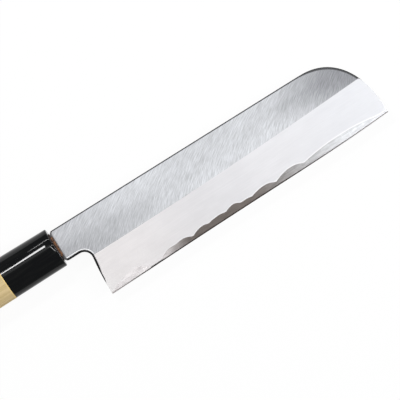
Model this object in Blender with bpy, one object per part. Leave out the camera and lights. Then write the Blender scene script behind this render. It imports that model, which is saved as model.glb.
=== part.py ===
"""Single-bevel vegetable knife with a rounded tip and a D-section handle.

The knife lies on its back with the bevel up: +X runs to the tip, +Y to the spine
and +Z out of the bevelled side.  Every piece is drawn from the blade's shoulder
(x = 0), its spine line (y = 0) and its back plane (z = 0).  The finished knife is
then moved so that the middle of its underside is the origin.
"""

import math

import bmesh
import bpy
from mathutils import Matrix, Vector

# Blade outline
EDGE_LENGTH = 0.1800  # heel to tip
HEEL_HEIGHT = 0.0469  # spine line to the heel corner
TIP_HEIGHT = 0.0423  # spine line to the end of the edge
EDGE_SWELL = 0.0008  # how far the edge bows below the straight line from heel to tip
SWELL_PLACE = 0.78  # where it bows most, as a share of the edge
SICKLE_LENGTH = 0.0318  # the rounded tip, measured along the spine
SICKLE_FULLNESS = 2.35  # its curve: 2 is an ellipse, more is fuller
NECK_LENGTH = 0.0135  # shoulder to the top of the heel line
NECK_HEIGHT = 0.0186
HEEL_RAKE = 0.0015  # how far the heel line curves back from its top to the corner
NOTCH_RADIUS = 0.0050  # between the neck and the heel line
SHOULDER_RADIUS = 0.0018  # lower corner of the shoulder
SHOULDER_CUT = 0.0013  # its upper corner is cut off at a slant

# Blade thickness and grind
SPINE_AT_NECK = 0.0038
SPINE_AT_TIP = 0.0028
FLAT_RISE = 0.0002  # the flat is this much thicker at the ridge line than at the spine
RIDGE_AT_HEEL = 0.0234  # spine line to the ridge line (shinogi)
RIDGE_AT_TIP = 0.0180
RIDGE_SWELL = 0.0012  # how far the ridge line bows towards the edge
SMALL_BEVEL_WIDTH = 0.0006  # final bevel (koba) right at the edge
SMALL_BEVEL_ANGLE = math.radians(20)
NECK_ROUNDING = 0.0014  # polished edge of the shoulder, neck, notch and heel
SPINE_ROUNDING = 0.0004  # broken edge of the spine and the rounded tip
FILED_PROFILE = 0.38  # both are filed flat and then softened: 0.25 is flat, 0.5 round

# Hollow back (ura)
RIM_WIDTH = 0.0020  # flat rim left round the hollow
HOLLOW_DEPTH = 0.00035
HOLLOW_RUN = 0.0100  # from the rim to the full depth
HOLLOW_CORNER = 0.0010  # corner radius of its level floor

# Hard steel layer (hagane)
STEEL_START = 0.0080  # its end in the neck, from the shoulder
STEEL_THICKNESS = 0.0011
WELD_SLOPE = 0.06  # rise of the weld behind the edge, until it reaches that thickness
WELD_GAP = 0.00002  # the two metals touch all over; this only keeps the solids apart
LEAST_STRIP = 0.0009  # steel shown on the bevel between the crests

# Crests of the wavy weld line on the bevel: place from the heel, height above the
# edge, and how far each would run down to the edge on its heel side and tip side
WELD_CRESTS = (
    (0.0178, 0.0049, 0.0180, 0.0078),
    (0.0400, 0.0035, 0.0082, 0.0207),
    (0.0475, 0.0038, 0.0100, 0.0086),
    (0.0615, 0.0038, 0.0103, 0.0064),
    (0.0717, 0.0038, 0.0150, 0.0095),
    (0.0815, 0.0045, 0.0096, 0.0066),
    (0.0890, 0.0030, 0.0170, 0.0084),
    (0.1015, 0.0039, 0.0145, 0.0088),
    (0.1190, 0.0044, 0.0147, 0.0108),
    (0.1480, 0.0043, 0.0325, 0.0300),
)

# Tang
TANG_LENGTH = 0.0950  # from the shoulder
TANG_HEIGHT = 0.0120
TANG_END_HEIGHT = 0.0060
TANG_THICKNESS = 0.0034
TANG_END_THICKNESS = 0.0024
TANG_ROOT = 0.0040  # how far it is taken into the neck

# Handle: horn ferrule and wooden grip under one D-shaped outline
SHOULDER_GAP = 0.0005  # shoulder to the ferrule's front
HANDLE_LENGTH = 0.1350
FERRULE_LENGTH = 0.0325
HANDLE_DROP = 0.0090  # spine line to the handle's axis
FRONT_HEIGHT = 0.0231
BUTT_HEIGHT = 0.0260
BACK_DEPTH = 0.0095  # axis to the round back, at the front
RIDGE_DEPTH = 0.0100  # axis to the ridge, at the front
RIDGE_OFFSET = 0.0029  # the ridge lies this far to the spine side of the axis
EAVE_SHARE = 0.86  # how steeply the two faces fall from the ridge; 1 is not at all
RIDGE_SOFTNESS = 0.0010
FERRULE_ROUNDING = 0.0006
BUTT_ROUNDING = 0.0012

# Tenon and slot
TENON_HEIGHT = 0.0170
TENON_WIDTH = 0.0130
TENON_PROUD = 0.0002  # its end stands this far out of the ferrule's front
FIT_GAP = 0.0003  # between neighbouring pieces of the handle
SLOT_GAP = 0.0003  # round the tang
SLOT_SPARE = 0.0020  # empty slot beyond the tang's end

# Places that follow from the sizes
HEEL_X = NECK_LENGTH - HEEL_RAKE
HEEL_TOP = NECK_HEIGHT + NOTCH_RADIUS + HEEL_RAKE  # spine line to where the notch ends
TIP_X = HEEL_X + EDGE_LENGTH
FERRULE_FRONT_X = -SHOULDER_GAP
FERRULE_BACK_X = FERRULE_FRONT_X - FERRULE_LENGTH
BUTT_X = FERRULE_FRONT_X - HANDLE_LENGTH
AXIS_Y = -HANDLE_DROP
AXIS_Z = SPINE_AT_NECK / 2
SMALL_BEVEL_TOP = SMALL_BEVEL_WIDTH * math.tan(SMALL_BEVEL_ANGLE)

# Drawing
SPARE = 0.0030  # how far a blank or a cutter reaches past what it shapes
ARC_STEPS = 6  # straight pieces in a corner arc
HEEL_STEPS = 6
SICKLE_STEPS = 26
HOLLOW_STEPS = 8
GRIND_STEPS = 44
WELD_STEPS = 170
ELLIPSE_HANDLE = 4 / 3 * (math.sqrt(2) - 1)  # handle length that makes a quarter ellipse
MERGE = 1e-7
FLAT_ANGLE = math.radians(0.1)  # faces that meet at less are one flat face


def remove_old_objects():
    for old in list(bpy.data.objects):
        bpy.data.objects.remove(old, do_unlink=True)


def new_collection(name):
    collection = bpy.data.collections.new(name)
    bpy.context.scene.collection.children.link(collection)
    return collection


# The blade's form, as functions of the place along it


def edge_y(x):
    """The cutting edge: a straight line with a slight bow towards the tip."""
    share = (x - HEEL_X) / EDGE_LENGTH
    skew = math.log(0.5) / math.log(SWELL_PLACE)
    bow = math.sin(math.pi * min(max(share, 0), 1) ** skew)
    return -HEEL_HEIGHT + (HEEL_HEIGHT - TIP_HEIGHT) * share - EDGE_SWELL * bow


def ridge_y(x):
    """The ridge line, which nears the spine towards the tip in a slight bow."""
    share = (x - HEEL_X) / EDGE_LENGTH
    bow = math.sin(math.pi * min(max(share, 0), 1))
    return -RIDGE_AT_HEEL + (RIDGE_AT_HEEL - RIDGE_AT_TIP) * share - RIDGE_SWELL * bow


def heel_x(y):
    """The heel line, which leaves the notch at a slant and ends square to the edge."""
    share = min(max((-y - HEEL_TOP) / (HEEL_HEIGHT - HEEL_TOP), 0), 1)
    return HEEL_X + HEEL_RAKE * (1 - share) ** 2


def flat_z(x, y):
    """The flat face above the ridge line, one plane that thins towards the tip."""
    spine = SPINE_AT_NECK + (SPINE_AT_TIP - SPINE_AT_NECK) * x / TIP_X
    return spine - FLAT_RISE * y / RIDGE_AT_HEEL


def bevel_slope(x):
    width = ridge_y(x) - edge_y(x) - SMALL_BEVEL_WIDTH
    return (flat_z(x, ridge_y(x)) - SMALL_BEVEL_TOP) / width


def bevel_z(x, height):
    """The wide bevel (kireba) at a height above the edge."""
    return SMALL_BEVEL_TOP + (height - SMALL_BEVEL_WIDTH) * bevel_slope(x)


def weld_strip(x):
    """Height of the steel strip: rounded crests that meet in sharp valleys."""
    place = x - HEEL_X
    heights = [LEAST_STRIP]
    for crest, height, heel_run, tip_run in WELD_CRESTS:
        run = heel_run if place < crest else tip_run
        heights.append(height * (1 - ((place - crest) / run) ** 2))
    return max(heights)


# Tools that turn outlines and sections into solids


def rounded_corner(before, corner, after, radius, steps=ARC_STEPS):
    """The arc that rounds a corner of an outline, as points."""
    corner = Vector(corner)
    back = (Vector(before) - corner).normalized()
    ahead = (Vector(after) - corner).normalized()
    half = back.angle(ahead) / 2
    centre = corner + (back + ahead).normalized() * (radius / math.sin(half))
    start = corner + back * (radius / math.tan(half)) - centre
    end = corner + ahead * (radius / math.tan(half)) - centre
    turn = start.angle_signed(end)
    return [
        centre + Matrix.Rotation(-turn * step / steps, 2) @ start
        for step in range(steps + 1)
    ]


def curve_to_mesh(name, curve):
    """A mesh of a curve's filled solid, with its caps welded on as single faces."""
    guide = bpy.data.objects.new(name, curve)
    bpy.context.scene.collection.objects.link(guide)
    depsgraph = bpy.context.evaluated_depsgraph_get()
    mesh = bpy.data.meshes.new_from_object(guide.evaluated_get(depsgraph))
    mesh.transform(guide.matrix_world)
    bpy.data.objects.remove(guide, do_unlink=True)
    bpy.data.curves.remove(curve)
    shape = bmesh.new()
    shape.from_mesh(mesh)
    bmesh.ops.remove_doubles(shape, verts=shape.verts, dist=MERGE)
    bmesh.ops.recalc_face_normals(shape, faces=shape.faces)
    bmesh.ops.dissolve_limit(
        shape, angle_limit=FLAT_ANGLE, verts=shape.verts, edges=shape.edges
    )
    shape.to_mesh(mesh)
    shape.free()
    mesh.name = name
    return mesh


def flat_curve(name, half_thickness):
    curve = bpy.data.curves.new(name, "CURVE")
    curve.dimensions = "2D"
    curve.fill_mode = "BOTH"
    curve.extrude = half_thickness
    return curve


def draw_outline(curve, points):
    spline = curve.splines.new("POLY")
    spline.points.add(len(points) - 1)
    for target, point in zip(spline.points, points):
        target.co = (*point, 0, 1)
    spline.use_cyclic_u = True


def section_mesh(name, knots, front_x, back_x):
    """A smooth closed section, given as Bezier knots in Y and Z, drawn out along X."""
    curve = flat_curve(name, (front_x - back_x) / 2)
    curve.resolution_u = 8
    spline = curve.splines.new("BEZIER")
    spline.bezier_points.add(len(knots) - 1)
    for target, (place, arriving, leaving) in zip(spline.bezier_points, knots):
        target.handle_left_type = "FREE"
        target.handle_right_type = "FREE"
        target.co = (*place, 0)
        target.handle_left = (*arriving, 0)
        target.handle_right = (*leaving, 0)
    spline.use_cyclic_u = True
    mesh = curve_to_mesh(name, curve)
    along_x = Matrix(((0, 0, 1, 0), (1, 0, 0, 0), (0, 1, 0, 0), (0, 0, 0, 1)))
    middle = Matrix.Translation(((front_x + back_x) / 2, AXIS_Y, AXIS_Z))
    mesh.transform(middle @ along_x)
    return mesh


def loft_mesh(name, sections):
    """A solid skinned over sections that have as many corners each."""
    shape = bmesh.new()
    rings = [[shape.verts.new(point) for point in section] for section in sections]
    shape.faces.new(rings[0])
    shape.faces.new(rings[-1])
    for ring, following in zip(rings, rings[1:]):
        for index in range(len(ring)):
            other = (index + 1) % len(ring)
            shape.faces.new(
                (ring[index], ring[other], following[other], following[index])
            )
    bmesh.ops.recalc_face_normals(shape, faces=shape.faces)
    mesh = bpy.data.meshes.new(name)
    shape.to_mesh(mesh)
    shape.free()
    return mesh


def round_edges(mesh, wanted, width, segments=3, profile=0.5):
    """Round the edges whose two ends both pass a test."""
    shape = bmesh.new()
    shape.from_mesh(mesh)
    edges = [edge for edge in shape.edges if all(wanted(v.co) for v in edge.verts)]
    bmesh.ops.bevel(
        shape,
        geom=edges,
        offset=width,
        segments=segments,
        profile=profile,
        affect="EDGES",
    )
    bmesh.ops.remove_doubles(shape, verts=shape.verts, dist=MERGE)
    shape.to_mesh(mesh)
    shape.free()


def add_object(name, mesh, collection, root):
    thing = bpy.data.objects.new(name, mesh)
    collection.objects.link(thing)
    thing.parent = root
    return thing


def add_cutter(name, mesh, collection, root):
    cutter = add_object(name, mesh, collection, root)
    cutter.hide_render = True
    cutter.display_type = "WIRE"
    return cutter


def cut(thing, cutter, operation="DIFFERENCE"):
    modifier = thing.modifiers.new(cutter.name, "BOOLEAN")
    modifier.operation = operation
    modifier.object = cutter


def finish(thing, colour, roughness, metallic):
    """Give a piece its own material, and shade its round surfaces smooth."""
    material = bpy.data.materials.new(thing.name)
    material.use_nodes = True
    surface = material.node_tree.nodes["Principled BSDF"]
    surface.inputs["Base Color"].default_value = (*colour, 1)
    surface.inputs["Roughness"].default_value = roughness
    surface.inputs["Metallic"].default_value = metallic
    thing.data.materials.clear()
    thing.data.materials.append(material)
    thing.data.shade_smooth()
    thing.data.set_sharp_from_angle(angle=math.radians(25))


# Blade


def sickle_curve(reach, rise, angle):
    """A point of the rounded tip about its centre, from the spine round to the edge."""
    share = 2 / SICKLE_FULLNESS
    return Vector((reach * math.sin(angle) ** share, rise * math.cos(angle) ** share))


def blade_outline():
    """Round the blade from the shoulder's top, past the edge that is ground later."""
    slant = 2 * HEEL_RAKE / (HEEL_HEIGHT - HEEL_TOP)
    notch = (NECK_LENGTH + slant * (HEEL_TOP - NECK_HEIGHT), -NECK_HEIGHT)
    shoulder_foot = (0, -NECK_HEIGHT)
    centre = Vector((TIP_X - SICKLE_LENGTH, -TIP_HEIGHT))
    points = [Vector((0, -SHOULDER_CUT)), Vector((SHOULDER_CUT, 0))]
    for step in range(SICKLE_STEPS):
        angle = math.pi / 2 * step / SICKLE_STEPS
        points.append(centre + sickle_curve(SICKLE_LENGTH, TIP_HEIGHT, angle))
    points.append(Vector((TIP_X, -TIP_HEIGHT)))
    points.append(Vector((TIP_X, -TIP_HEIGHT - SPARE)))
    points.append(Vector((HEEL_X, -HEEL_HEIGHT - SPARE)))
    for step in range(HEEL_STEPS + 1):
        y = -HEEL_HEIGHT + (HEEL_HEIGHT - HEEL_TOP) * step / HEEL_STEPS
        points.append(Vector((heel_x(y), y)))
    points += rounded_corner(points[-1], notch, shoulder_foot, NOTCH_RADIUS)
    points += rounded_corner(notch, shoulder_foot, (0, 0), SHOULDER_RADIUS)
    return points


def blade_blank():
    """The forged and filed blank, before any bevel is ground on it."""
    curve = flat_curve("blade_blank", SPINE_AT_NECK / 2)
    draw_outline(curve, blade_outline())
    mesh = curve_to_mesh("blade_blank", curve)
    for vertex in mesh.vertices:
        on_flat = vertex.co.z > 0
        vertex.co.z = flat_z(vertex.co.x, vertex.co.y) if on_flat else 0

    def on_top(place):
        return place.z > SPINE_AT_TIP / 2

    def on_neck_or_heel(place):
        below_neck = place.y < -NECK_HEIGHT + MERGE and place.x < NECK_LENGTH + NOTCH_RADIUS
        return on_top(place) and (below_neck or place.x < SHOULDER_RADIUS + MERGE)

    def on_spine_or_tip(place):
        along = place.y > -MERGE or place.x > TIP_X - SICKLE_LENGTH - MERGE
        return on_top(place) and along

    round_edges(mesh, on_neck_or_heel, NECK_ROUNDING, 5, FILED_PROFILE)
    round_edges(mesh, on_spine_or_tip, SPINE_ROUNDING, 3, FILED_PROFILE)
    return mesh


def grind_mesh():
    """What the stones take away: the wide bevel, and the small one at the edge."""
    fall = math.tan(SMALL_BEVEL_ANGLE) * SPARE
    sections = []
    for step in range(GRIND_STEPS + 1):
        x = -SPARE + (TIP_X + 2 * SPARE) * step / GRIND_STEPS
        edge = edge_y(x)
        outer = edge - 3 * SPARE
        past_ridge = ridge_y(x) + SPARE
        sections.append(
            (
                (x, outer, -fall),
                (x, edge - SPARE, -fall),
                (x, edge + SMALL_BEVEL_WIDTH, SMALL_BEVEL_TOP),
                (x, past_ridge, bevel_z(x, past_ridge - edge)),
                (x, outer, SPINE_AT_NECK + SPARE),
            )
        )
    return loft_mesh("grind", sections)


def steel_layer_mesh(name, gap):
    """The layer's space: level over the back, and falling to the edge in waves."""
    start = STEEL_START - gap
    end = TIP_X + SPARE
    sections = []
    for step in range(WELD_STEPS + 1):
        x = start + (end - start) * step / WELD_STEPS
        strip = weld_strip(x)
        weld = bevel_z(x, strip) + gap
        low = edge_y(x) - SPARE
        low_z = weld - WELD_SLOPE * (strip + SPARE)
        level = STEEL_THICKNESS + gap
        knee = edge_y(x) + strip + (level - weld) / WELD_SLOPE
        sections.append(
            (
                (x, low, -SPARE),
                (x, low, low_z),
                (x, knee, level),
                (x, SPARE, level),
                (x, SPARE, -SPARE),
            )
        )
    return loft_mesh(name, sections)


def hollow_outline():
    """The hollow's level floor: the blade's outline, set in by the rim and its slope."""
    inset = RIM_WIDTH + HOLLOW_RUN
    heel_top = Vector((HEEL_X + inset, -inset))
    heel_foot = Vector((HEEL_X + inset, edge_y(HEEL_X + inset) + inset))
    centre = Vector((TIP_X - SICKLE_LENGTH, -TIP_HEIGHT))
    reach = SICKLE_LENGTH - inset
    rise = TIP_HEIGHT - inset
    last_angle = math.acos((inset / rise) ** (SICKLE_FULLNESS / 2))
    sickle = []
    for step in range(HOLLOW_STEPS + 1):
        angle = last_angle * step / HOLLOW_STEPS
        sickle.append(centre + sickle_curve(reach, rise, angle))
    points = rounded_corner(heel_foot, heel_top, sickle[0], HOLLOW_CORNER)
    points += sickle[:-1]
    points += rounded_corner(sickle[-2], sickle[-1], heel_foot, HOLLOW_CORNER)
    points += rounded_corner(sickle[-1], heel_foot, heel_top, HOLLOW_CORNER)
    return points


def hollow_mesh():
    """A shallow cushion over that floor, which sinks into the blade's back.

    Its rounded side is an arc of which only the upper part, from the tilt on, bites.
    """
    tilt = math.radians(45)
    depth = HOLLOW_RUN / math.cos(tilt)
    curve = flat_curve("hollow", SPARE)
    curve.bevel_depth = depth
    curve.bevel_resolution = 6
    draw_outline(curve, hollow_outline())
    mesh = curve_to_mesh("hollow", curve)
    flatten = HOLLOW_DEPTH / (depth * (1 - math.sin(tilt)))
    top = (SPARE + depth) * flatten
    mesh.transform(Matrix.Diagonal((1, 1, flatten, 1)))
    mesh.transform(Matrix.Translation((0, 0, HOLLOW_DEPTH - top)))
    return mesh


def tang_mesh(name, gap, spare):
    """The tapering tang, or with a gap round it the slot that it is driven into."""
    shape = bmesh.new()
    bmesh.ops.create_cube(shape, size=1)
    for vertex in shape.verts:
        at_end = vertex.co.x < 0
        height = (TANG_END_HEIGHT if at_end else TANG_HEIGHT) + 2 * gap
        thickness = (TANG_END_THICKNESS if at_end else TANG_THICKNESS) + 2 * gap
        vertex.co = (
            -TANG_LENGTH - spare if at_end else TANG_ROOT,
            AXIS_Y + vertex.co.y * height,
            AXIS_Z + vertex.co.z * thickness,
        )
    mesh = bpy.data.meshes.new(name)
    shape.to_mesh(mesh)
    shape.free()
    return mesh


def build_blade(parts, cutters, root):
    blank = add_cutter("ground_blank", blade_blank(), cutters, root)
    cut(blank, add_cutter("grind", grind_mesh(), cutters, root))
    bpy.context.view_layer.update()
    depsgraph = bpy.context.evaluated_depsgraph_get()
    ground = bpy.data.meshes.new_from_object(blank.evaluated_get(depsgraph))

    iron = add_object("iron_body", ground.copy(), parts, root)
    steel_space = steel_layer_mesh("steel_space", WELD_GAP)
    tang = tang_mesh("tang", 0, 0)
    cut(iron, add_cutter("steel_space", steel_space, cutters, root))
    cut(iron, add_cutter("tang", tang, cutters, root), "UNION")
    finish(iron, (0.62, 0.63, 0.66), 0.38, 1.0)

    steel = add_object("edge_steel", ground, parts, root)
    steel_layer = steel_layer_mesh("steel_layer", 0)
    cut(steel, add_cutter("steel_layer", steel_layer, cutters, root), "INTERSECT")
    cut(steel, add_cutter("hollow", hollow_mesh(), cutters, root))
    finish(steel, (0.20, 0.19, 0.18), 0.30, 1.0)


# Handle


def d_section():
    """Knots of the D section about the handle's axis: round back, ridged front."""
    half, bend = FRONT_HEIGHT / 2, ELLIPSE_HANDLE
    eave = RIDGE_DEPTH * EAVE_SHARE
    back = (0, -BACK_DEPTH)
    spine_side = (half, 0)
    ridge = (RIDGE_OFFSET, RIDGE_DEPTH)
    to_spine = RIDGE_OFFSET + (half - RIDGE_OFFSET) * bend
    to_edge = RIDGE_OFFSET - (half + RIDGE_OFFSET) * bend
    edge_side = (-half, 0)
    return (
        (back, (-half * bend, -BACK_DEPTH), (half * bend, -BACK_DEPTH)),
        (spine_side, (half, -BACK_DEPTH * bend), (half, RIDGE_DEPTH * bend)),
        (ridge, (to_spine, eave), (to_edge, eave)),
        (edge_side, (-half, RIDGE_DEPTH * bend), (-half, -BACK_DEPTH * bend)),
    )


def oval_section(height, width):
    half, depth, bend = height / 2, width / 2, ELLIPSE_HANDLE
    return (
        ((0, -depth), (-half * bend, -depth), (half * bend, -depth)),
        ((half, 0), (half, -depth * bend), (half, depth * bend)),
        ((0, depth), (half * bend, depth), (-half * bend, depth)),
        ((-half, 0), (-half, depth * bend), (-half, -depth * bend)),
    )


def handle_mesh(name, front_x, back_x):
    """A length of the handle: the D section, flaring evenly to the butt."""
    mesh = section_mesh(name, d_section(), front_x, back_x)
    ridge = Vector((AXIS_Y + RIDGE_OFFSET, AXIS_Z + RIDGE_DEPTH))
    round_edges(mesh, lambda place: (place.yz - ridge).length < MERGE, RIDGE_SOFTNESS)
    flare = BUTT_HEIGHT / FRONT_HEIGHT - 1
    axis = Vector((0, AXIS_Y, AXIS_Z))
    for vertex in mesh.vertices:
        growth = 1 + flare * (FERRULE_FRONT_X - vertex.co.x) / HANDLE_LENGTH
        offset = (vertex.co - axis) * growth
        vertex.co.y = axis.y + offset.y
        vertex.co.z = axis.z + offset.z
    return mesh


def build_ferrule(parts, cutters, root):
    mesh = handle_mesh("horn_ferrule", FERRULE_FRONT_X, FERRULE_BACK_X)
    round_edges(
        mesh,
        lambda place: place.x > FERRULE_FRONT_X - MERGE,
        FERRULE_ROUNDING,
        segments=4,
    )
    ferrule = add_object("horn_ferrule", mesh, parts, root)
    bore = section_mesh(
        "ferrule_bore",
        oval_section(TENON_HEIGHT + 2 * FIT_GAP, TENON_WIDTH + 2 * FIT_GAP),
        FERRULE_FRONT_X + SPARE,
        FERRULE_BACK_X - SPARE,
    )
    cut(ferrule, add_cutter("ferrule_bore", bore, cutters, root))
    finish(ferrule, (0.012, 0.013, 0.014), 0.16, 0.0)


def build_grip(parts, cutters, root):
    front = FERRULE_BACK_X - FIT_GAP
    mesh = handle_mesh("grip_wood", front, BUTT_X)
    round_edges(mesh, lambda place: place.x < BUTT_X + MERGE, BUTT_ROUNDING)
    grip = add_object("grip_wood", mesh, parts, root)
    tenon = section_mesh(
        "tenon",
        oval_section(TENON_HEIGHT, TENON_WIDTH),
        FERRULE_FRONT_X + TENON_PROUD,
        front - SPARE,
    )
    slot = tang_mesh("tang_slot", SLOT_GAP, SLOT_SPARE)
    cut(grip, add_cutter("tenon", tenon, cutters, root), "UNION")
    cut(grip, add_cutter("tang_slot", slot, cutters, root))
    finish(grip, (0.60, 0.47, 0.26), 0.62, 0.0)


def stand_on_origin(parts, root):
    """Move the knife so that the middle of its underside is the origin."""
    bpy.context.view_layer.update()
    depsgraph = bpy.context.evaluated_depsgraph_get()
    corners = []
    for thing in parts.objects:
        evaluated = thing.evaluated_get(depsgraph)
        corners += [evaluated.matrix_world @ Vector(c) for c in evaluated.bound_box]
    low = Vector([min(corner[axis] for corner in corners) for axis in range(3)])
    high = Vector([max(corner[axis] for corner in corners) for axis in range(3)])
    middle = (low + high) / 2
    root.location -= Vector((middle.x, middle.y, low.z))
    bpy.context.view_layer.update()


def main():
    remove_old_objects()
    parts = new_collection("usuba_knife")
    cutters = new_collection("usuba_knife_cutters")
    root = bpy.data.objects.new("usuba_knife_root", None)
    bpy.context.scene.collection.objects.link(root)
    build_blade(parts, cutters, root)
    build_ferrule(parts, cutters, root)
    build_grip(parts, cutters, root)
    stand_on_origin(parts, root)


main()
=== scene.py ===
import math

import bmesh
import bpy
from mathutils import Matrix, Vector


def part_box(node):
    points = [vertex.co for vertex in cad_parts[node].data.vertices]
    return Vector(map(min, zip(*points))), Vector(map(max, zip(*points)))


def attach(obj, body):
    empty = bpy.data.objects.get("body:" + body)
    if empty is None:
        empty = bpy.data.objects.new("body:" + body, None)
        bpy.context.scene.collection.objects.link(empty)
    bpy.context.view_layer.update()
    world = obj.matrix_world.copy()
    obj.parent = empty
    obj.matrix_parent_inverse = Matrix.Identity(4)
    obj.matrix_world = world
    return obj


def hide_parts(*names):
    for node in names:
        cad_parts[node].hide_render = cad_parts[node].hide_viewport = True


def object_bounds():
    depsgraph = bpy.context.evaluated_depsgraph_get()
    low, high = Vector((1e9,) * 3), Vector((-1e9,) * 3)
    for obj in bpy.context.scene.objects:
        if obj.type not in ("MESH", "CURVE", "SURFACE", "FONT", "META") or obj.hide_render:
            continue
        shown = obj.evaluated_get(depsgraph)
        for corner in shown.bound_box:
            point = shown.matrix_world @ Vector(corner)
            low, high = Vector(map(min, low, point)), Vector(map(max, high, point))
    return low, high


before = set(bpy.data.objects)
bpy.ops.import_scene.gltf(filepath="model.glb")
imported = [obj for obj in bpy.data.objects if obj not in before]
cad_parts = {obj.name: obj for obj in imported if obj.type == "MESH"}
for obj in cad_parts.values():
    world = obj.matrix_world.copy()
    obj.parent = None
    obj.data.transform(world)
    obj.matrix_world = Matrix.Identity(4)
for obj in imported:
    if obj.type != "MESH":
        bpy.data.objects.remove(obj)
cad_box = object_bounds()

# The iron body
# Soft iron, forged into blade, neck and tang in one. The face above the ridge line is
# ground with slanting hairlines, and the bevel below it is rubbed misty with fine stone
# powder. The edges are filed, and are painted black where they are steep: painted dark
# reflection.

EDGE_LENGTH = 0.180
TIP_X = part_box("edge_steel")[1][0]
HEEL_X = TIP_X - EDGE_LENGTH
MIDDLE_X = HEEL_X + EDGE_LENGTH / 2
HEEL_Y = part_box("edge_steel")[0][1]
SPINE_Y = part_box("iron_body")[1][1]
BACK_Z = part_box("edge_steel")[0][2]
WELD_SPAN = 0.012  # the weld line stays within this height above the heel corner
WELD_STRIDE = 2  # every second corner of the weld line is enough to follow it
SHOULDER_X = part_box("horn_ferrule")[1][0] + 0.0005
HEEL_TOP_Y = SPINE_Y - 0.0251  # where the notch ends and the heel line begins
HEEL_RAKE = 0.0015
CORNER_SLANT = 0.7  # the bright heel corner ends along a line this steep
TIP_Y = SPINE_Y - 0.0423  # the end of the edge
SICKLE_X = TIP_X - 0.0318  # where the rounded tip begins
SICKLE_FULLNESS = 2.35
HAIRLINE_SLANT = math.radians(38)
HAIRLINE_BEND = 20.0  # the stone leaves arcs: how far they bend, per metre squared
FLAT_MIDDLE_Y = SPINE_Y - 0.011
FLAT_PALE_X = HEEL_X + 0.075  # the flat is palest from here on
TIP_GREY_SLANT = 1.5  # off the flat's middle the tip's grey starts later, by this slope
RIDGE_END_Y = SPINE_Y - 0.0213  # where the ridge line meets the rounded tip
HIGHLIGHT_RIM_WIDTH = 0.0004
HIGHLIGHT_TOP_Y = SPINE_Y - 0.012  # only the notch, below this height, has the painted highlight line
HIGHLIGHT_START_X = SHOULDER_X + 0.0012
HIGHLIGHT_END_X = HEEL_X + 0.003
LEVEL = 0.999  # how far up a face points: nearly straight up
NEAR_LEVEL = 0.97
BEVEL_TILT = 0.07  # how far the bevel's faces lean towards the edge, at least
IRON_SHARP = math.radians(40)  # a steeper corner than this stays crisp
THROUGH = 0.01  # size of a pattern through the flat blade, where it doesn't show
SCRATCH_DEPTH = 0.00001
NOISE_RANGE = (0.3, 0.7)  # nearly all of a noise lies in here
HAIR = 0.000001  # corners nearer than this are one corner
TOUCH = 0.00001  # a point nearer than this to a line or a plane lies on it
HAIRLINE, MISTY, FILED, SEALED, RIM_HIGHLIGHT = range(5)


def joined_copy(node, name):
    """A copy of a CAD solid, with the corners of its triangles joined."""
    piece = bpy.data.objects.new(name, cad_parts[node].data.copy())
    bpy.context.collection.objects.link(piece)
    bpy.ops.object.select_all(action="DESELECT")
    piece.select_set(True)
    bpy.context.view_layer.objects.active = piece
    bpy.ops.object.mode_set(mode="EDIT")
    bpy.ops.mesh.select_all(action="SELECT")
    bpy.ops.mesh.remove_doubles(threshold=HAIR)
    bpy.ops.object.mode_set(mode="OBJECT")
    piece.data.materials.clear()
    return piece


def shade_ground_faces(piece, materials, slot_of, sharp_angle):
    """Give each face its finish, and keep a crisp line where two finishes meet."""
    for material in materials:
        piece.data.materials.append(material)
    for face in piece.data.polygons:
        face.material_index = slot_of(face)
    piece.data.shade_smooth()
    shape = bmesh.new()
    shape.from_mesh(piece.data)
    for edge in shape.edges:
        finishes = {face.material_index for face in edge.link_faces}
        edge.smooth = len(finishes) == 1 and edge.calc_face_angle(0) < sharp_angle
    shape.to_mesh(piece.data)
    shape.free()
    modifier = piece.modifiers.new("even_shading", "WEIGHTED_NORMAL")
    modifier.keep_sharp = True
    bpy.ops.object.modifier_apply(modifier=modifier.name)


def cut_rim(piece, wanted, width):
    """Inset the faces that pass a test, and give back the faces of the new rim."""
    bpy.ops.object.mode_set(mode="EDIT")
    bpy.ops.mesh.select_mode(type="FACE")
    bpy.ops.mesh.select_all(action="DESELECT")
    bpy.ops.object.mode_set(mode="OBJECT")
    for face in piece.data.polygons:
        face.select = wanted(face)
    bpy.ops.object.mode_set(mode="EDIT")
    bpy.ops.mesh.inset(thickness=width, use_even_offset=False)
    bpy.ops.object.mode_set(mode="OBJECT")
    return {face.index for face in piece.data.polygons if wanted(face) and not face.select}


def new_material(name):
    material = bpy.data.materials.new(name)
    material.use_nodes = True
    return material, material.node_tree.nodes["Principled BSDF"]


def plug(material, socket, value):
    """Set a socket to a value, or link it to another socket."""
    if isinstance(value, bpy.types.NodeSocket):
        material.node_tree.links.new(value, socket)
    elif isinstance(value, tuple) and socket.type == "RGBA":
        socket.default_value = (*value, 1)
    else:
        socket.default_value = value


def place(material, kind="Object"):
    """The point of the piece in metres, or with "Normal" the way it faces there."""
    return material.node_tree.nodes.new("ShaderNodeTexCoord").outputs[kind]


def along(material, axis, kind="Object"):
    """One axis of the point, or of the way that the surface faces."""
    split = material.node_tree.nodes.new("ShaderNodeSeparateXYZ")
    plug(material, split.inputs[0], place(material, kind))
    return split.outputs[axis]


def speckle(material, size, turn=0.0, detail=3.0, roughness=0.6, where=None):
    """Noise whose grains have a size along each axis, with the axes turned about Z."""
    mapping = material.node_tree.nodes.new("ShaderNodeMapping")
    mapping.vector_type = "TEXTURE"
    plug(material, mapping.inputs["Vector"], where or place(material))
    mapping.inputs["Rotation"].default_value = (0, 0, turn)
    mapping.inputs["Scale"].default_value = size
    noise = material.node_tree.nodes.new("ShaderNodeTexNoise")
    plug(material, noise.inputs["Vector"], mapping.outputs[0])
    noise.inputs["Scale"].default_value = 1.0
    noise.inputs["Detail"].default_value = detail
    noise.inputs["Roughness"].default_value = roughness
    return noise.outputs["Fac"]


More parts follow.
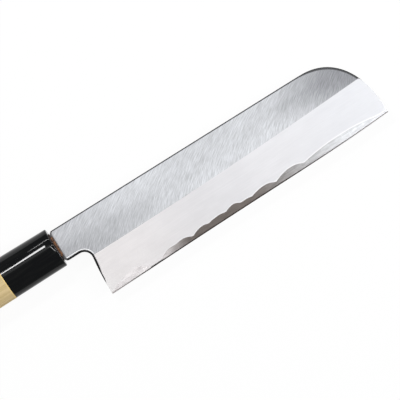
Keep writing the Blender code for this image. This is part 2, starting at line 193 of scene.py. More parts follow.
def ramp(material, value, low, high, start=0.0, end=1.0, kind="SMOOTHSTEP"):
    """Run from start to end while a value goes from low to high."""
    step = material.node_tree.nodes.new("ShaderNodeMapRange")
    step.interpolation_type = kind
    plug(material, step.inputs["Value"], value)
    step.inputs["From Min"].default_value = low
    step.inputs["From Max"].default_value = high
    step.inputs["To Min"].default_value = start
    step.inputs["To Max"].default_value = end
    return step.outputs["Result"]


def vary(material, noise, start=0.0, end=1.0):
    """Run from start to end over the whole range of a noise."""
    return ramp(material, noise, *NOISE_RANGE, start, end)


def work_out(material, operation, first, second=0.0):
    node = material.node_tree.nodes.new("ShaderNodeMath")
    node.operation = operation
    plug(material, node.inputs[0], first)
    plug(material, node.inputs[1], second)
    return node.outputs[0]


def blend(material, share, first, second, kind="MIX"):
    """Mix two colours."""
    mix = material.node_tree.nodes.new("ShaderNodeMix")
    mix.data_type = "RGBA"
    mix.blend_type = kind
    plug(material, mix.inputs[0], share)
    plug(material, mix.inputs[6], first)
    plug(material, mix.inputs[7], second)
    return mix.outputs[2]


def shade(material, tone, factor, share=1.0):
    """Make a colour darker or brighter by a factor."""
    return blend(material, share, tone, factor, "MULTIPLY")


def relief(material, surface, height, depth, strength=1.0):
    """Raise the surface by a height from 0 to 1, times a depth in metres."""
    bump = material.node_tree.nodes.new("ShaderNodeBump")
    bump.inputs["Distance"].default_value = depth
    bump.inputs["Strength"].default_value = strength
    plug(material, bump.inputs["Height"], height)
    plug(material, surface.inputs["Normal"], bump.outputs[0])


def coat(material, surface, tone, roughness, metallic=1.0):
    plug(material, surface.inputs["Base Color"], tone)
    plug(material, surface.inputs["Metallic"], metallic)
    plug(material, surface.inputs["Roughness"], roughness)


def arcs(material):
    """The place on the blade, bent so that straight lines become the stone's arcs."""
    off_middle = work_out(material, "SUBTRACT", along(material, "Y"), FLAT_MIDDLE_Y)
    bend = work_out(material, "MULTIPLY", off_middle, off_middle)
    bend = work_out(material, "MULTIPLY", bend, HAIRLINE_BEND)
    bent = material.node_tree.nodes.new("ShaderNodeCombineXYZ")
    plug(material, bent.inputs[0], work_out(material, "SUBTRACT", along(material, "X"), bend))
    plug(material, bent.inputs[1], along(material, "Y"))
    return bent.outputs[0]


def from_outline(material):
    """How far a point lies inside the spine and the rounded tip, in metres."""
    over = ramp(material, along(material, "X"), SICKLE_X, TIP_X, kind="LINEAR")
    up = ramp(material, along(material, "Y"), TIP_Y, SPINE_Y, kind="LINEAR")
    over = work_out(material, "POWER", over, SICKLE_FULLNESS)
    up = work_out(material, "POWER", up, SICKLE_FULLNESS)
    reach = work_out(material, "ADD", over, up)
    reach = work_out(material, "POWER", reach, 1 / SICKLE_FULLNESS)
    inside = work_out(material, "SUBTRACT", 1.0, reach)
    return work_out(material, "MULTIPLY", inside, SPINE_Y - TIP_Y)


def from_heel(material):
    """How far a point lies in front of the heel line, in metres."""
    y = along(material, "Y")
    height = ramp(material, y, HEEL_Y, HEEL_TOP_Y, 0.0, HEEL_RAKE**0.5, "LINEAR")
    line = work_out(material, "MULTIPLY", height, height)
    line = work_out(material, "ADD", line, HEEL_X)
    return work_out(material, "SUBTRACT", along(material, "X"), line)


def hairline_finish():
    """Fine slanting arcs over painted reflection tones, palest in the middle, with a painted
    shade line just inside the spine.
    """
    heel_grey = (0.392, 0.399, 0.417)
    pale_grey = (0.562, 0.574, 0.598)
    tip_grey = (0.275, 0.281, 0.299)
    painted_edge_shade_grey = (0.050, 0.050, 0.052)
    material, surface = new_material("hairline_ground_iron")
    lines = arcs(material)
    fine = speckle(
        material, (0.0060, 0.00034, THROUGH), HAIRLINE_SLANT, detail=2.0, where=lines
    )
    streaks = speckle(
        material, (0.0080, 0.00060, THROUGH), HAIRLINE_SLANT, roughness=0.7, where=lines
    )
    patches = speckle(
        material, (0.026, 0.0065, THROUGH), HAIRLINE_SLANT, detail=2.0, roughness=0.5, where=lines
    )
    x = along(material, "X")
    y = along(material, "Y")
    # Painted reflection tone: grey at the neck, pale further on, lighter towards the spine at the
    # heel and towards the ridge, grey again at the tip.
    from_neck = ramp(material, x, HEEL_X - 0.020, FLAT_PALE_X)
    tone = blend(material, from_neck, heel_grey, pale_grey)
    to_spine = ramp(material, y, SPINE_Y - 0.018, SPINE_Y - 0.004, 0.94, 1.22)
    at_heel = ramp(material, x, FLAT_PALE_X, HEEL_X + 0.020)
    tone = shade(material, tone, to_spine, at_heel)
    to_ridge = ramp(material, y, SPINE_Y - 0.013, SPINE_Y - 0.019, 1.0, 1.07)
    tone = shade(material, tone, to_ridge)
    off_middle = work_out(material, "SUBTRACT", y, FLAT_MIDDLE_Y + 0.002)
    off_middle = work_out(material, "ABSOLUTE", off_middle)
    behind = work_out(material, "MULTIPLY", off_middle, TIP_GREY_SLANT)
    to_tip = work_out(material, "SUBTRACT", x, behind)
    to_tip = ramp(material, to_tip, TIP_X - 0.073, TIP_X - 0.013)
    tone = blend(material, to_tip, tone, tip_grey)
    for grain, contrast in ((patches, 0.035), (streaks, 0.050), (fine, 0.20)):
        tone = shade(material, tone, vary(material, grain, 1 - contrast, 1 + contrast))
    # A painted shade line just inside the spine and the rounded tip, for the dark look of the
    # rounded edge.
    at_tip = ramp(material, x, SICKLE_X - 0.004, SICKLE_X + 0.010, 0.0, 0.0007)
    inside = work_out(material, "SUBTRACT", from_outline(material), at_tip)
    edge_shade_share = ramp(material, inside, 0.00045, 0.00085, 0.85, 0.0)
    tone = blend(material, edge_shade_share, tone, painted_edge_shade_grey)
    coat(material, surface, tone, vary(material, fine, 0.32, 0.42))
    relief(material, surface, fine, SCRATCH_DEPTH, strength=0.3)
    return material


def weld_curve(material, piece):
    """Height above the heel corner of the weld line, read along the blade."""
    line = set()
    for face in piece.data.polygons:
        if is_bevel(face.normal):
            line |= {tuple(piece.data.vertices[v].co[:2]) for v in face.vertices}
    line = sorted(point for point in line if point[1] < HEEL_Y + WELD_SPAN)
    curve = material.node_tree.nodes.new("ShaderNodeFloatCurve")
    knots = curve.mapping.curves[0].points
    for x, y in line[::WELD_STRIDE]:
        knots.new((x - HEEL_X) / EDGE_LENGTH, (y - HEEL_Y) / WELD_SPAN)
    knots[0].location.y = knots[1].location.y
    knots[-1].location.y = knots[-2].location.y
    curve.mapping.update()
    share = work_out(material, "SUBTRACT", along(material, "X"), HEEL_X)
    share = work_out(material, "DIVIDE", share, EDGE_LENGTH)
    plug(material, curve.inputs["Value"], share)
    return work_out(material, "MULTIPLY", curve.outputs[0], WELD_SPAN)


def above_weld(material, piece):
    height = work_out(material, "SUBTRACT", along(material, "Y"), HEEL_Y)
    return work_out(material, "SUBTRACT", height, weld_curve(material, piece))


def misty_finish(piece):
    """Rubbed white in painted reflection tones, with a pale halo along the weld line and a
    painted dark line along the heel line.
    """
    heel_white = (0.930, 0.900, 0.904)
    middle_white = (0.755, 0.750, 0.772)
    tip_white = (0.620, 0.628, 0.655)
    corner_white = (0.98, 0.96, 0.96)
    halo_white = (0.97, 0.96, 0.97)
    heel_black = (0.015, 0.015, 0.015)
    material, surface = new_material("misty_bevel_iron")
    lines = speckle(material, (0.040, 0.0006, THROUGH), detail=4.0, roughness=0.65)
    mist = speckle(material, (0.014, 0.006, THROUGH), detail=4.0)
    x = along(material, "X")
    y = along(material, "Y")
    # Painted reflection tone: the white falls from the heel corner to the tip, and is whitest at
    # the heel corner.
    tone = blend(material, ramp(material, x, HEEL_X, MIDDLE_X), heel_white, middle_white)
    tone = blend(material, ramp(material, x, MIDDLE_X, TIP_X), tone, tip_white)
    corner = work_out(material, "ADD", x, work_out(material, "MULTIPLY", y, CORNER_SLANT))
    corner = work_out(material, "SUBTRACT", corner, HEEL_X + CORNER_SLANT * HEEL_Y)
    tone = blend(material, ramp(material, corner, 0.016, 0.002), tone, corner_white)
    tone = shade(material, tone, vary(material, mist, 0.975, 1.02))
    tone = shade(material, tone, vary(material, lines, 0.98, 1.015))
    halo = ramp(material, above_weld(material, piece), 0.0, 0.0012, 0.6, 0.0)
    past_heel = ramp(material, x, HEEL_X + 0.020, HEEL_X + 0.040)
    halo = work_out(material, "MULTIPLY", halo, past_heel)
    tone = blend(material, halo, tone, halo_white)
    # A painted dark line along the heel line: the painted dark reflection of its rounded edge.
    width = ramp(material, y, SPINE_Y - 0.0425, SPINE_Y - 0.0370, -0.0003, 0.0008)
    wider = ramp(material, y, SPINE_Y - 0.0350, SPINE_Y - 0.0290, 0.0, 0.0006)
    width = work_out(material, "ADD", width, wider)
    beside = work_out(material, "SUBTRACT", from_heel(material), width)
    dark = ramp(material, beside, -0.00035, 0.0001, 1.0, 0.0)
    tone = blend(material, dark, tone, heel_black)
    coat(material, surface, tone, vary(material, mist, 0.38, 0.44))
    relief(material, surface, lines, SCRATCH_DEPTH, strength=0.2)
    return material


def filed_finish():
    """Bright where the edge is broken; the steep sides and a band along the spine are painted
    black, a painted dark reflection.
    """
    steep_shade_black = (0.010, 0.010, 0.011)
    filed_white = (0.95, 0.95, 0.97)
    material, surface = new_material("filed_iron_edge")
    file_marks = speckle(material, (0.004, 0.00020, 0.00020))
    x = along(material, "X")
    y = along(material, "Y")
    # Steep faces, and a band along the spine, are painted black: painted dark reflection.
    bright = ramp(material, along(material, "Z", "Normal"), 0.88, 0.925)
    off_spine = ramp(material, from_outline(material), 0.0005, 0.0009)
    bright = work_out(material, "MULTIPLY", bright, off_spine)
    at_shoulder = ramp(material, along(material, "X", "Normal"), -0.5, -0.3, 0.3, 0.0)
    before = ramp(material, x, SHOULDER_X + 0.0015, SHOULDER_X + 0.0025, 1.0, 0.0)
    at_shoulder = work_out(material, "MULTIPLY", at_shoulder, before)
    bright = work_out(material, "MAXIMUM", bright, at_shoulder)
    at_tip = ramp(material, x, SICKLE_X, SICKLE_X + 0.001)
    on_bevel = ramp(material, y, RIDGE_END_Y - 0.0002, RIDGE_END_Y, 1.0, 0.0)
    on_bevel = work_out(material, "MULTIPLY", on_bevel, at_tip)
    bright = work_out(material, "MAXIMUM", bright, on_bevel)
    tone = blend(material, bright, steep_shade_black, filed_white)
    tone = shade(material, tone, vary(material, file_marks, 0.92, 1.08))
    roughness = ramp(material, bright, 0.0, 1.0, 0.70, 0.50)
    coat(material, surface, tone, roughness, metallic=bright)
    surface.inputs["Specular IOR Level"].default_value = 0.10
    relief(material, surface, file_marks, SCRATCH_DEPTH, strength=0.2)
    return material


def sealed_finish():
    """Brown lacquer, which seals the tang where it enters the handle."""
    dark_brown = (0.026, 0.012, 0.008)
    thin_brown = (0.22, 0.090, 0.030)
    material, surface = new_material("lacquered_tang")
    runs = speckle(material, (0.0012, 0.0018, 0.0030))
    tone = blend(material, ramp(material, runs, 0.40, 0.60), dark_brown, thin_brown)
    coat(material, surface, tone, roughness=0.45, metallic=0.0)
    relief(material, surface, runs, 0.00005, strength=0.4)
    return material


def painted_highlight_finish():
    """A painted highlight: the bright line on the ground face next to the filed edge."""
    grey, white = (0.82, 0.83, 0.86), (0.94, 0.94, 0.95)
    material, surface = new_material("painted_highlight_iron_edge")
    marks = speckle(material, (0.0020, 0.0020, THROUGH))
    coat(material, surface, blend(material, vary(material, marks), grey, white), roughness=0.38)
    relief(material, surface, marks, SCRATCH_DEPTH, strength=0.2)
    return material


def is_flat(normal):
    return normal.z > LEVEL and normal.y > 0


def is_bevel(normal):
    return normal.z > NEAR_LEVEL and normal.y < -BEVEL_TILT


def on_blade_face(face):
    return is_flat(face.normal) and face.center.x > SHOULDER_X


iron = joined_copy("iron_body", "iron_blade_and_tang")
# A narrow rim round the flat, for the painted highlight line along the notch.
rim = cut_rim(iron, on_blade_face, HIGHLIGHT_RIM_WIDTH)


def iron_slot(face):
    centre = face.center
    if centre.x < SHOULDER_X + TOUCH:
        return SEALED
    in_notch = centre.y < HIGHLIGHT_TOP_Y and HIGHLIGHT_START_X < centre.x < HIGHLIGHT_END_X
    if face.index in rim and in_notch:
        return RIM_HIGHLIGHT
    return HAIRLINE if is_flat(face.normal) else MISTY if is_bevel(face.normal) else FILED


iron_finishes = (
    hairline_finish(),
    misty_finish(iron),
    filed_finish(),
    sealed_finish(),
    painted_highlight_finish(),
)
shade_ground_faces(iron, iron_finishes, iron_slot, IRON_SHARP)
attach(iron, "root")
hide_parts("iron_body")

# The edge steel
# A thin layer of hard steel, forge-welded over the whole back of the blade. On the
# bevel it shows as a darker strip under the wavy weld line, with a narrow final
# bevel at the edge; its back is ground hollow inside a flat polished rim.

WELD_LIFT = 0.00003  # closes the hair of space that the CAD solids keep at the weld
HONED_TILT = 0.25  # how far the final bevel's faces lean towards the edge, at least
NEARLY_UP = 0.9  # how far up they still point, and how far down the back's faces do
STEEL_SHARP = math.radians(30)
BACK_SLANT = math.radians(80)
FINE_SCRATCH_DEPTH = 0.000005
STRIP, HONED, HOLLOW, RIM = range(4)


def strip_finish(piece):
    """Pale at the heel, dark in the middle and pale again to the tip."""
    heel_white = (0.880, 0.845, 0.850)
    dark_steel = (0.180, 0.158, 0.145)
    tip_white = (0.710, 0.724, 0.748)
    material, surface = new_material("edge_steel_strip")
    lines = speckle(material, (0.030, 0.00050, THROUGH), detail=4.0, roughness=0.65)
    cloud = speckle(material, (0.006, 0.0015, THROUGH))
    x = along(material, "X")
    # Painted reflection tone: pale at the heel and at the tip; the dark middle is partly the
    # steel's own darker tone and partly painted dark reflection.
    past_heel = ramp(material, x, HEEL_X + 0.026, HEEL_X + 0.054)
    tone = blend(material, past_heel, heel_white, dark_steel)
    to_tip = ramp(material, x, HEEL_X + 0.088, HEEL_X + 0.163)
    tone = blend(material, to_tip, tone, tip_white)
    tone = shade(material, tone, vary(material, lines, 0.90, 1.10))
    tone = shade(material, tone, vary(material, cloud, 0.88, 1.12))
    weld_side = ramp(material, along(material, "Y", "Normal"), -0.13, -0.08, 1.0, 0.86)
    tone = shade(material, tone, weld_side)
    coat(material, surface, tone, roughness=0.42)
    relief(material, surface, lines, SCRATCH_DEPTH, strength=0.2)
    return material


def honed_finish():
    heel_white = (0.950, 0.880, 0.880)
    dark_steel = (0.060, 0.045, 0.040)
    tip_grey = (0.58, 0.54, 0.55)
    material, surface = new_material("honed_edge")
    lines = speckle(material, (0.010, 0.00006, 0.00006), detail=2.0)
    x = along(material, "X")
    # Pale at the heel and grey at the tip: painted reflection tone; the dark middle is partly the
    # steel's own tone and partly painted dark reflection.
    tone = blend(material, ramp(material, x, HEEL_X, HEEL_X + 0.03), heel_white, dark_steel)
    tone = blend(material, ramp(material, x, HEEL_X + 0.11, TIP_X), tone, tip_grey)
    coat(material, surface, tone, roughness=0.40)
    relief(material, surface, lines, FINE_SCRATCH_DEPTH, strength=0.2)
    return material


def hollow_finish():
    dark, light = (0.50, 0.50, 0.51), (0.66, 0.66, 0.67)
    material, surface = new_material("hollow_ground_back")
    lines = speckle(
        material, (0.060, 0.00030, THROUGH), BACK_SLANT, detail=4.0, roughness=0.65
    )
    coat(material, surface, blend(material, vary(material, lines), dark, light), roughness=0.30)
    relief(material, surface, lines, SCRATCH_DEPTH, strength=0.3)
    return material


def rim_finish():
    dark, light = (0.64, 0.64, 0.65), (0.74, 0.74, 0.75)
    material, surface = new_material("polished_steel_rim")
    lines = speckle(material, (0.020, 0.00015, 0.00015))
    coat(material, surface, blend(material, vary(material, lines), dark, light), roughness=0.16)
    relief(material, surface, lines, FINE_SCRATCH_DEPTH, strength=0.2)
    return material


def on_weld(face):
    """On the side that is welded to the iron; a hair of it shows along the weld line."""
    return face.normal.z > NEAR_LEVEL and not is_bevel(face.normal)


def steel_slot(face):
    if is_bevel(face.normal) or on_weld(face):
        return STRIP
    if face.normal.y < -HONED_TILT and NEARLY_UP < face.normal.z < NEAR_LEVEL:
        return HONED
    if face.normal.z < -NEARLY_UP and face.center.z > BACK_Z + HAIR:
        return HOLLOW
    return RIM


steel = joined_copy("edge_steel", "edge_steel_layer")
weld = set()
for face in steel.data.polygons:
    if on_weld(face):
        weld |= set(face.vertices)
for index in weld:
    steel.data.vertices[index].co.z += WELD_LIFT
steel_finishes = (strip_finish(steel), honed_finish(), hollow_finish(), rim_finish())
shade_ground_faces(steel, steel_finishes, steel_slot, STEEL_SHARP)
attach(steel, "root")
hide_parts("edge_steel")

# The horn ferrule
# A ring of black buffalo horn with a D section, shaped and polished together with
# the grip. It is glued on the grip's tenon, which shows in its rounded front face.

FRONT_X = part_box("horn_ferrule")[1][0]
JOINT_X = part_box("horn_ferrule")[0][0]
BUTT_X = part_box("grip_wood")[0][0]
HANDLE_AXIS = Vector((0, SPINE_Y - 0.0090, BACK_Z + 0.0019))
FRONT_HEIGHT = 0.0231
BUTT_HEIGHT = 0.0260
BACK_DEPTH = 0.0095
RIDGE_DEPTH = 0.0100
RIDGE_OFFSET = 0.0024
RIDGE_SOFTNESS = 0.0006
RIDGE_EASE = 0.0065  # the ridge is rounded down over this length at the front
RIDGE_DROP = 0.0022  # the rounding is a quarter oval this deep
EASE_SHARE = 0.93  # and stops at this share of its length
EASE_STATIONS = (RIDGE_EASE, 0.0052, 0.0040, 0.0028, 0.0018, 0.0010, 0.0005, 0.0)
EAVE_SHARE = 0.86
FERRULE_ROUNDING = 0.0006
TENON_HEIGHT = 0.0170
TENON_WIDTH = 0.0130
BORE_EASE = 1.004  # the bore is this much wider than the tenon in it
BORE_REACH = 1.02  # anything within this many times the tenon's oval is in the bore
ELLIPSE_HANDLE = 4 / 3 * (math.sqrt(2) - 1)
RING_STEPS = 24  # points of a ring from one knot to the next
ROUNDING_STEPS = 6
HANDLE_SHARP = math.radians(35)


def ridge_depth(x):
    share = min(max((x - FRONT_X) / RIDGE_EASE + 1, 0.0), 1.0) * EASE_SHARE
    return RIDGE_DEPTH - RIDGE_DROP * (1 - math.sqrt(1 - share * share))


def d_knots(ridge=RIDGE_DEPTH):
    """The D section about the handle's axis: round back, ridged front."""
    half, bend = FRONT_HEIGHT / 2, ELLIPSE_HANDLE
    eave = ridge * EAVE_SHARE
    to_spine = RIDGE_OFFSET + (half - RIDGE_OFFSET) * bend
    to_edge = RIDGE_OFFSET - (half + RIDGE_OFFSET) * bend
    return (
        ((0, -BACK_DEPTH), (-half * bend, -BACK_DEPTH), (half * bend, -BACK_DEPTH)),
        ((half, 0), (half, -BACK_DEPTH * bend), (half, ridge * bend)),
        ((RIDGE_OFFSET, ridge), (to_spine, eave), (to_edge, eave)),
        ((-half, 0), (-half, ridge * bend), (-half, -BACK_DEPTH * bend)),
    )


def oval_knots():
    """The tenon's section about the handle's axis."""
    half, depth, bend = TENON_HEIGHT / 2, TENON_WIDTH / 2, ELLIPSE_HANDLE
    return (
        ((0, -depth), (-half * bend, -depth), (half * bend, -depth)),
        ((half, 0), (half, -depth * bend), (half, depth * bend)),
        ((0, depth), (half * bend, depth), (-half * bend, depth)),
        ((-half, 0), (-half, depth * bend), (-half, -depth * bend)),
    )


def flare_at(x):
    """How much wider the handle is at x than at its front."""
    return 1 + (BUTT_HEIGHT / FRONT_HEIGHT - 1) * (FRONT_X - x) / (FRONT_X - BUTT_X)


def ring_of_points(name, knots, x, scale):
    """A smooth closed line across the handle at x."""
    bpy.ops.curve.primitive_bezier_circle_add(enter_editmode=False)
    ring = bpy.context.object
    ring.name = name
    ring.data.resolution_u = RING_STEPS
    for knot, (point, arriving, leaving) in zip(ring.data.splines[0].bezier_points, knots):
        knot.handle_left_type = "FREE"
        knot.handle_right_type = "FREE"
        knot.co = (*point, 0)
        knot.handle_left = (*arriving, 0)
        knot.handle_right = (*leaving, 0)
    bpy.ops.object.convert(target="MESH")
    # The circle lies flat; its X and Y become the handle's Y and Z.
    across = Matrix(((0, 0, 1, 0), (1, 0, 0, 0), (0, 1, 0, 0), (0, 0, 0, 1)))
    middle = Matrix.Translation(HANDLE_AXIS + Vector((x, 0, 0)))
    ring.data.transform(middle @ across @ Matrix.Scale(scale, 4))
    return ring


def edit_edges(piece, wanted):
    """Enter edit mode with only those edges selected whose two ends pass a test."""
    bpy.ops.object.select_all(action="DESELECT")
    piece.select_set(True)
    bpy.context.view_layer.objects.active = piece
    bpy.ops.object.mode_set(mode="EDIT")
    bpy.ops.mesh.select_mode(type="EDGE")
    bpy.ops.mesh.select_all(action="DESELECT")
    bpy.ops.object.mode_set(mode="OBJECT")
    corners = piece.data.vertices
    for edge in piece.data.edges:
        edge.select = all(wanted(corners[v].co) for v in edge.vertices)
    bpy.ops.object.mode_set(mode="EDIT")


def skin(name, stations):
    """Stretch a skin over rings, each a section's knots, its place and its scale.

    Two rings at the same place get a flat face between them, and other rings a wall.
    """
    rings = [ring_of_points(name, *station) for station in stations]
    points = [{v.co.copy().freeze() for v in ring.data.vertices} for ring in rings]
    bpy.ops.object.select_all(action="DESELECT")
    for ring in rings:
        ring.select_set(True)
    bpy.context.view_layer.objects.active = rings[0]
    bpy.ops.object.join()
    piece = bpy.context.object
    for index, (first, second) in enumerate(zip(points, points[1:])):
        edit_edges(piece, lambda point: point.copy().freeze() in first | second)
        if stations[index][1] == stations[index + 1][1]:
            bpy.ops.mesh.fill()
        else:
            bpy.ops.mesh.bridge_edge_loops()
        bpy.ops.object.mode_set(mode="OBJECT")
    return piece


def soften(piece, wanted, width):
    """Round the edges whose two ends pass a test."""
    edit_edges(piece, wanted)
    bpy.ops.mesh.bevel(offset=width, segments=ROUNDING_STEPS, affect="EDGES")
    bpy.ops.object.mode_set(mode="OBJECT")


def on_ridge(point):
    """On the line where the two upper faces of the handle meet."""
    offset = (point - HANDLE_AXIS) / flare_at(point.x)
    return math.hypot(offset.y - RIDGE_OFFSET, offset.z - ridge_depth(point.x)) < TOUCH


def in_bore(point):
    """Inside the tenon's oval, or on the wall of the bore round it."""
    offset = point - HANDLE_AXIS
    half, depth = TENON_HEIGHT / 2 * BORE_REACH, TENON_WIDTH / 2 * BORE_REACH
    return math.hypot(offset.y / half, offset.z / depth) < 1


def on_front_rim(point):
    """On the ferrule's front face, outside the bore."""
    return point.x > FRONT_X - TOUCH and not in_bore(point)


def face_out(piece):
    """Join the rings that lie on each other, and turn the faces outwards."""
    edit_edges(piece, lambda point: True)
    bpy.ops.mesh.remove_doubles(threshold=HAIR)
    bpy.ops.mesh.normals_make_consistent(inside=False)
    bpy.ops.object.mode_set(mode="OBJECT")


def horn_finish():
    """Nearly black, with faint lengthwise streaks and a slightly uneven polish."""
    black, streak_black = (0.0022, 0.0026, 0.0032), (0.0075, 0.0080, 0.0075)
    material, surface = new_material("polished_horn")
    streaks = speckle(material, (0.020, 0.0011, 0.0011), detail=4.0)
    sway = speckle(material, (0.030, 0.018, 0.018), detail=0.0, roughness=0.4)
    tone = blend(material, ramp(material, streaks, 0.45, 0.75), black, streak_black)
    roughness = ramp(material, streaks, 0.3, 0.8, 0.06, 0.10)
    coat(material, surface, tone, roughness, metallic=0.0)
    surface.inputs["IOR"].default_value = 1.5
    surface.inputs["Specular IOR Level"].default_value = 0.3
    relief(material, surface, sway, 0.0005)
    return material


eased_rings = (
    (d_knots(ridge_depth(FRONT_X - back)), FRONT_X - back, flare_at(FRONT_X - back))
    for back in EASE_STATIONS
)
ferrule = skin(
    "black_horn_ferrule",
    (
        (oval_knots(), JOINT_X, BORE_EASE),
        (d_knots(), JOINT_X, flare_at(JOINT_X)),
        *eased_rings,
        (oval_knots(), FRONT_X, BORE_EASE),
        (oval_knots(), JOINT_X, BORE_EASE),
    ),
)
face_out(ferrule)
soften(ferrule, on_ridge, RIDGE_SOFTNESS)
soften(ferrule, on_front_rim, FERRULE_ROUNDING)
ferrule.data.materials.append(horn_finish())
bpy.ops.object.shade_smooth_by_angle(angle=HANDLE_SHARP)
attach(ferrule, "root")
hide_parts("horn_ferrule")

# The wooden grip
# Plain magnolia, with the same D section flaring to the butt. Its tenon fills the
# ferrule, and the tang is driven into a slot burned down the middle of it.

GRIP_X = JOINT_X - 0.0001  # a hair of glue line behind the horn
TENON_END_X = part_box("grip_wood")[1][0]
DARK_TENON_START_X = JOINT_X + 0.010
DARK_TENON_END_X = JOINT_X + 0.026
BUTT_ROUNDING = 0.0012
TANG_HEIGHT = 0.0120
TANG_THICKNESS = 0.0034
TANG_LENGTH = 0.0950
TANG_TAPER = 0.5
SLOT_GAP = 0.0003
SLOT_PAST_END = 0.004  # the cutting block stands out this far in front of the tenon


def wood_finish():
    """Bare wood with fine pores, a painted highlight along the joint, its tenon dark brown
    towards its front end.
    """
    dark_grain, light_grain = (0.60, 0.458, 0.222), (0.75, 0.585, 0.318)
    pore_brown = (0.40, 0.28, 0.12)
    joint_highlight_yellow = (0.92, 0.68, 0.28)
    tenon_dark_brown = (0.035, 0.014, 0.008)
    material, surface = new_material("bare_magnolia")
    grain = speckle(material, (0.060, 0.0016, 0.0016), detail=5.0)
    pores = speckle(material, (0.0050, 0.00016, 0.00016), detail=2.0, roughness=0.5)
    x = along(material, "X")
    tone = blend(material, ramp(material, grain, 0.35, 0.65), dark_grain, light_grain)
    tone = blend(material, ramp(material, pores, 0.52, 0.72, 0.0, 0.30), tone, pore_brown)
    # A painted highlight where the grip's front edge meets the horn.
    at_joint = ramp(material, x, GRIP_X - 0.0007, GRIP_X - 0.0002)
    tone = blend(material, at_joint, tone, joint_highlight_yellow)
    # Dark brown towards the tenon's front end, which shows in the ferrule's front face.
    tenon_dark_share = ramp(material, x, DARK_TENON_START_X, DARK_TENON_END_X)
    tone = blend(material, tenon_dark_share, tone, tenon_dark_brown)
    coat(material, surface, tone, roughness=0.62, metallic=0.0)
    surface.inputs["Specular IOR Level"].default_value = 0.25
    relief(material, surface, pores, 0.00004, strength=0.5)
    return material


grip = skin(
    "magnolia_grip",
    (
        (d_knots(), BUTT_X, flare_at(BUTT_X)),
        (d_knots(), GRIP_X, flare_at(GRIP_X)),
        (oval_knots(), GRIP_X, 1.0),
        (oval_knots(), TENON_END_X, 1.0),
    ),
)
soften(grip, on_ridge, RIDGE_SOFTNESS)
for end_x in (BUTT_X, TENON_END_X):
    edit_edges(grip, lambda point: abs(point.x - end_x) < TOUCH)
    bpy.ops.mesh.edge_face_add()
    bpy.ops.object.mode_set(mode="OBJECT")
face_out(grip)
soften(grip, lambda point: point.x < BUTT_X + TOUCH, BUTT_ROUNDING)

bpy.ops.object.select_all(action="DESELECT")
slot_middle = HANDLE_AXIS + Vector((TENON_END_X - TANG_LENGTH / 2 + SLOT_PAST_END, 0, 0))
bpy.ops.mesh.primitive_cube_add(size=1, location=slot_middle)
slot = bpy.context.object
slot.scale = (TANG_LENGTH, TANG_HEIGHT + 2 * SLOT_GAP, TANG_THICKNESS + 2 * SLOT_GAP)
bpy.ops.object.transform_apply(location=True, rotation=True, scale=True)
edit_edges(slot, lambda point: point.x < slot_middle.x)
far_end = slot_middle - Vector((TANG_LENGTH / 2, 0, 0))
bpy.ops.transform.resize(value=(1, TANG_TAPER, 1), center_override=far_end)
bpy.ops.object.mode_set(mode="OBJECT")
bpy.ops.object.select_all(action="DESELECT")
grip.select_set(True)
bpy.context.view_layer.objects.active = grip
modifier = grip.modifiers.new("tang_slot", "BOOLEAN")
modifier.object = slot
bpy.ops.object.modifier_apply(modifier=modifier.name)
bpy.data.objects.remove(slot, do_unlink=True)
grip.data.materials.append(wood_finish())
bpy.ops.object.shade_smooth_by_angle(angle=HANDLE_SHARP)
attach(grip, "root")
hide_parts("grip_wood")

# The table, the light and the camera
# A white table in a dim room, under a wide soft box. A short bright lamp and a long thin
# one behind the spine draw the lines along the horn. Two lamps past the tip light the
# bevel and the ferrule's front corner.

TABLE_SIZE = 60.0
TABLE_WHITE = (0.9, 0.9, 0.9)
TABLE_ROUGHNESS = 0.9
TABLE_GLOW = 0.94  # share of the table that is plain white to the eye; the rest is lit
ROOM_LIGHT = 0.22
AIM_Y = SPINE_Y - 0.012  # the lamps point at the flat's middle

bpy.ops.mesh.primitive_plane_add(size=TABLE_SIZE, location=(0, 0, cad_box[0][2]))
table = bpy.context.object
table.name = "table"
white, surface = new_material("white_table")
coat(white, surface, TABLE_WHITE, TABLE_ROUGHNESS, metallic=0.0)
surface.inputs["Specular IOR Level"].default_value = 0.0
tree = white.node_tree
path = tree.nodes.new("ShaderNodeLightPath")
seen = work_out(white, "MAXIMUM", path.outputs["Is Camera Ray"], path.outputs["Is Glossy Ray"])
seen = work_out(white, "MAXIMUM", seen, path.outputs["Is Transmission Ray"])
glow = tree.nodes.new("ShaderNodeEmission")
mix = tree.nodes.new("ShaderNodeMixShader")
plug(white, mix.inputs[0], work_out(white, "MULTIPLY", seen, TABLE_GLOW))
plug(white, mix.inputs[1], surface.outputs[0])
plug(white, mix.inputs[2], glow.outputs[0])
plug(white, tree.nodes["Material Output"].inputs["Surface"], mix.outputs[0])
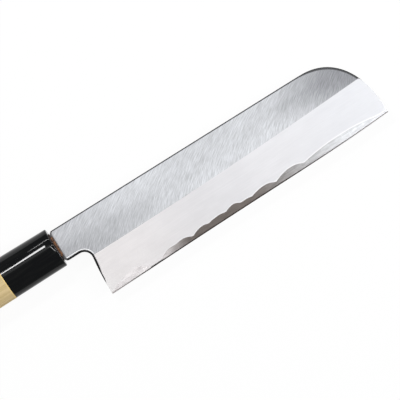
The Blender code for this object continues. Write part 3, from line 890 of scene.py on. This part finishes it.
table.data.materials.append(white)

world = bpy.data.worlds.new("dim_room")
world.use_nodes = True
world.node_tree.nodes["Background"].inputs["Color"].default_value = (1, 1, 1, 1)
world.node_tree.nodes["Background"].inputs["Strength"].default_value = ROOM_LIGHT
bpy.context.scene.world = world


def hang_lamp(name, direction, distance, middle_x, width, length, brightness):
    """An area lamp over the knife, in a direction given as (x, y) for each metre up."""
    aim = Vector((middle_x, AIM_Y, BACK_Z))
    spot = aim + Vector((*direction, 1)).normalized() * distance
    bpy.ops.object.light_add(type="AREA", location=spot)
    light = bpy.context.object
    light.name = name
    light.data.shape = "RECTANGLE"
    light.data.size = length
    light.data.size_y = width
    light.data.energy = brightness * math.pi * width * length
    light.rotation_euler = (aim - spot).to_track_quat("-Z", "Y").to_euler()
    light.visible_camera = False


LAMPS = (  # name, direction, distance, x that it points at, width, length, brightness
    ("soft_box", (0, -0.07), 1.3, 0, 0.86, 1.8, 0.98),
    ("long_lamp", (0, 0.74), 1.0, -0.06, 0.11, 0.34, 36.0),
    ("thin_lamp", (0, 1.38), 1.0, 0.51, 0.024, 1.2, 18.0),
    ("end_lamp", (1.2, -0.25), 1.0, -0.03, 0.32, 0.12, 25.0),
    ("corner_lamp", (0.60, -0.44), 1.0, -0.03, 0.36, 0.022, 32.0),
)
for lamp in LAMPS:
    hang_lamp(*lamp)

ROLL = math.radians(32.02)
VIEW_WIDTH = 0.2182
VIEW_MIDDLE = (0.05126, -0.00723)
CAMERA_HEIGHT = 1.1
SENSOR_WIDTH = 36
NEAREST, FARTHEST = 0.05, 200
bpy.ops.object.camera_add(location=(*VIEW_MIDDLE, CAMERA_HEIGHT), rotation=(0, 0, -ROLL))
camera = bpy.context.object
camera.data.sensor_width = SENSOR_WIDTH
camera.data.lens = SENSOR_WIDTH * (CAMERA_HEIGHT - BACK_Z) / VIEW_WIDTH
camera.data.clip_start = NEAREST
camera.data.clip_end = FARTHEST
bpy.context.scene.camera = camera
bpy.context.scene.view_settings.view_transform = "Standard"
